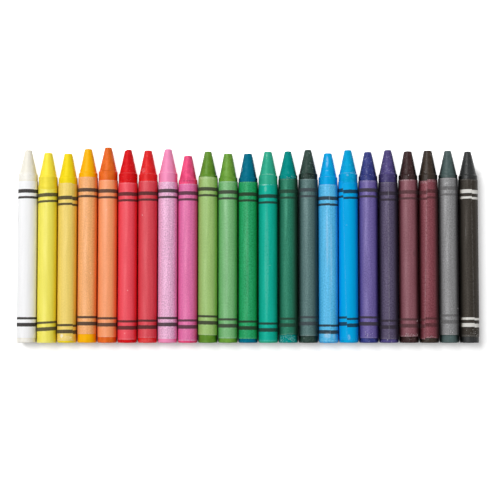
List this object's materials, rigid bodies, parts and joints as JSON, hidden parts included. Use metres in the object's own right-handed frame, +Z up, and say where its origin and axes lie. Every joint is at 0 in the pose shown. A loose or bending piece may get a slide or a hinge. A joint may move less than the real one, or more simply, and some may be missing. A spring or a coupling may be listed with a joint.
{
  "type": "wax crayon set",
  "caption": "Row of paper-wrapped wax crayons in assorted colours, each a cast stick with a flat-tipped cone in a wound paper sleeve, for drawing and colouring.",
  "frame": {"origin": "on the table, under the middle of the row's bounding box", "axes": "+Z up from the table, +X along the row from the white crayon to the black one, +Y along each crayon towards its tip"},
  "size_m": [0.2128, 0.0904, 0.0091],
  "materials": {
    "white_wax": "satin",
    "white_paper": "matte",
    "lemon_wax": "satin",
    "lemon_paper": "matte",
    "gold_wax": "satin",
    "gold_paper": "matte",
    "amber_wax": "satin",
    "amber_paper": "matte",
    "orange_wax": "satin",
    "orange_paper": "matte",
    "red_wax": "satin",
    "red_paper": "matte",
    "crimson_wax": "satin",
    "crimson_paper": "matte",
    "pale_pink_wax": "satin",
    "pale_pink_paper": "matte",
    "hot_pink_wax": "satin",
    "hot_pink_paper": "matte",
    "lime_wax": "satin",
    "lime_paper": "matte",
    "green_wax": "satin",
    "green_paper": "matte",
    "emerald_wax": "satin",
    "emerald_paper": "matte",
    "mint_wax": "satin",
    "mint_paper": "matte",
    "forest_wax": "satin",
    "forest_paper": "matte",
    "slate_wax": "satin",
    "slate_paper": "matte",
    "sky_wax": "satin",
    "sky_paper": "matte",
    "cyan_wax": "satin",
    "cyan_paper": "matte",
    "violet_wax": "satin",
    "violet_paper": "matte",
    "plum_wax": "satin",
    "plum_paper": "matte",
    "maroon_wax": "satin",
    "maroon_paper": "matte",
    "brown_wax": "satin",
    "brown_paper": "matte",
    "grey_wax": "satin",
    "grey_paper": "matte",
    "black_wax": "satin",
    "black_paper": "matte"
  },
  "bodies": {
    "white_crayon": {"white_wax_stick": "white_wax", "white_wrapper": "white_paper"},
    "lemon_crayon": {"lemon_wax_stick": "lemon_wax", "lemon_wrapper": "lemon_paper"},
    "gold_crayon": {"gold_wax_stick": "gold_wax", "gold_wrapper": "gold_paper"},
    "amber_crayon": {"amber_wax_stick": "amber_wax", "amber_wrapper": "amber_paper"},
    "orange_crayon": {"orange_wax_stick": "orange_wax", "orange_wrapper": "orange_paper"},
    "red_crayon": {"red_wax_stick": "red_wax", "red_wrapper": "red_paper"},
    "crimson_crayon": {"crimson_wax_stick": "crimson_wax", "crimson_wrapper": "crimson_paper"},
    "pale_pink_crayon": {"pale_pink_wax_stick": "pale_pink_wax", "pale_pink_wrapper": "pale_pink_paper"},
    "hot_pink_crayon": {"hot_pink_wax_stick": "hot_pink_wax", "hot_pink_wrapper": "hot_pink_paper"},
    "lime_crayon": {"lime_wax_stick": "lime_wax", "lime_wrapper": "lime_paper"},
    "green_crayon": {"green_wax_stick": "green_wax", "green_wrapper": "green_paper"},
    "emerald_crayon": {"emerald_wax_stick": "emerald_wax", "emerald_wrapper": "emerald_paper"},
    "mint_crayon": {"mint_wax_stick": "mint_wax", "mint_wrapper": "mint_paper"},
    "forest_crayon": {"forest_wax_stick": "forest_wax", "forest_wrapper": "forest_paper"},
    "slate_crayon": {"slate_wax_stick": "slate_wax", "slate_wrapper": "slate_paper"},
    "sky_crayon": {"sky_wax_stick": "sky_wax", "sky_wrapper": "sky_paper"},
    "cyan_crayon": {"cyan_wax_stick": "cyan_wax", "cyan_wrapper": "cyan_paper"},
    "violet_crayon": {"violet_wax_stick": "violet_wax", "violet_wrapper": "violet_paper"},
    "plum_crayon": {"plum_wax_stick": "plum_wax", "plum_wrapper": "plum_paper"},
    "maroon_crayon": {"maroon_wax_stick": "maroon_wax", "maroon_wrapper": "maroon_paper"},
    "brown_crayon": {"brown_wax_stick": "brown_wax", "brown_wrapper": "brown_paper"},
    "grey_crayon": {"grey_wax_stick": "grey_wax", "grey_wrapper": "grey_paper"},
    "black_crayon": {"black_wax_stick": "black_wax", "black_wrapper": "black_paper"}
  },
  "joints": [
    {"name": "white_lift", "type": "slide", "parent": "emerald_crayon", "child": "white_crayon", "axis": [0, 0, 1], "range_m": [0, 0.03]},
    {"name": "lemon_lift", "type": "slide", "parent": "emerald_crayon", "child": "lemon_crayon", "axis": [0, 0, 1], "range_m": [0, 0.03]},
    {"name": "gold_lift", "type": "slide", "parent": "emerald_crayon", "child": "gold_crayon", "axis": [0, 0, 1], "range_m": [0, 0.03]},
    {"name": "amber_lift", "type": "slide", "parent": "emerald_crayon", "child": "amber_crayon", "axis": [0, 0, 1], "range_m": [0, 0.03]},
    {"name": "orange_lift", "type": "slide", "parent": "emerald_crayon", "child": "orange_crayon", "axis": [0, 0, 1], "range_m": [0, 0.03]},
    {"name": "red_lift", "type": "slide", "parent": "emerald_crayon", "child": "red_crayon", "axis": [0, 0, 1], "range_m": [0, 0.03]},
    {"name": "crimson_lift", "type": "slide", "parent": "emerald_crayon", "child": "crimson_crayon", "axis": [0, 0, 1], "range_m": [0, 0.03]},
    {"name": "pale_pink_lift", "type": "slide", "parent": "emerald_crayon", "child": "pale_pink_crayon", "axis": [0, 0, 1], "range_m": [0, 0.03]},
    {"name": "hot_pink_lift", "type": "slide", "parent": "emerald_crayon", "child": "hot_pink_crayon", "axis": [0, 0, 1], "range_m": [0, 0.03]},
    {"name": "lime_lift", "type": "slide", "parent": "emerald_crayon", "child": "lime_crayon", "axis": [0, 0, 1], "range_m": [0, 0.03]},
    {"name": "green_lift", "type": "slide", "parent": "emerald_crayon", "child": "green_crayon", "axis": [0, 0, 1], "range_m": [0, 0.03]},
    {"name": "mint_lift", "type": "slide", "parent": "emerald_crayon", "child": "mint_crayon", "axis": [0, 0, 1], "range_m": [0, 0.03]},
    {"name": "forest_lift", "type": "slide", "parent": "emerald_crayon", "child": "forest_crayon", "axis": [0, 0, 1], "range_m": [0, 0.03]},
    {"name": "slate_lift", "type": "slide", "parent": "emerald_crayon", "child": "slate_crayon", "axis": [0, 0, 1], "range_m": [0, 0.03]},
    {"name": "sky_lift", "type": "slide", "parent": "emerald_crayon", "child": "sky_crayon", "axis": [0, 0, 1], "range_m": [0, 0.03]},
    {"name": "cyan_lift", "type": "slide", "parent": "emerald_crayon", "child": "cyan_crayon", "axis": [0, 0, 1], "range_m": [0, 0.03]},
    {"name": "violet_lift", "type": "slide", "parent": "emerald_crayon", "child": "violet_crayon", "axis": [0, 0, 1], "range_m": [0, 0.03]},
    {"name": "plum_lift", "type": "slide", "parent": "emerald_crayon", "child": "plum_crayon", "axis": [0, 0, 1], "range_m": [0, 0.03]},
    {"name": "maroon_lift", "type": "slide", "parent": "emerald_crayon", "child": "maroon_crayon", "axis": [0, 0, 1], "range_m": [0, 0.03]},
    {"name": "brown_lift", "type": "slide", "parent": "emerald_crayon", "child": "brown_crayon", "axis": [0, 0, 1], "range_m": [0, 0.03]},
    {"name": "grey_lift", "type": "slide", "parent": "emerald_crayon", "child": "grey_crayon", "axis": [0, 0, 1], "range_m": [0, 0.03]},
    {"name": "black_lift", "type": "slide", "parent": "emerald_crayon", "child": "black_crayon", "axis": [0, 0, 1], "range_m": [0, 0.03]}
  ]
}
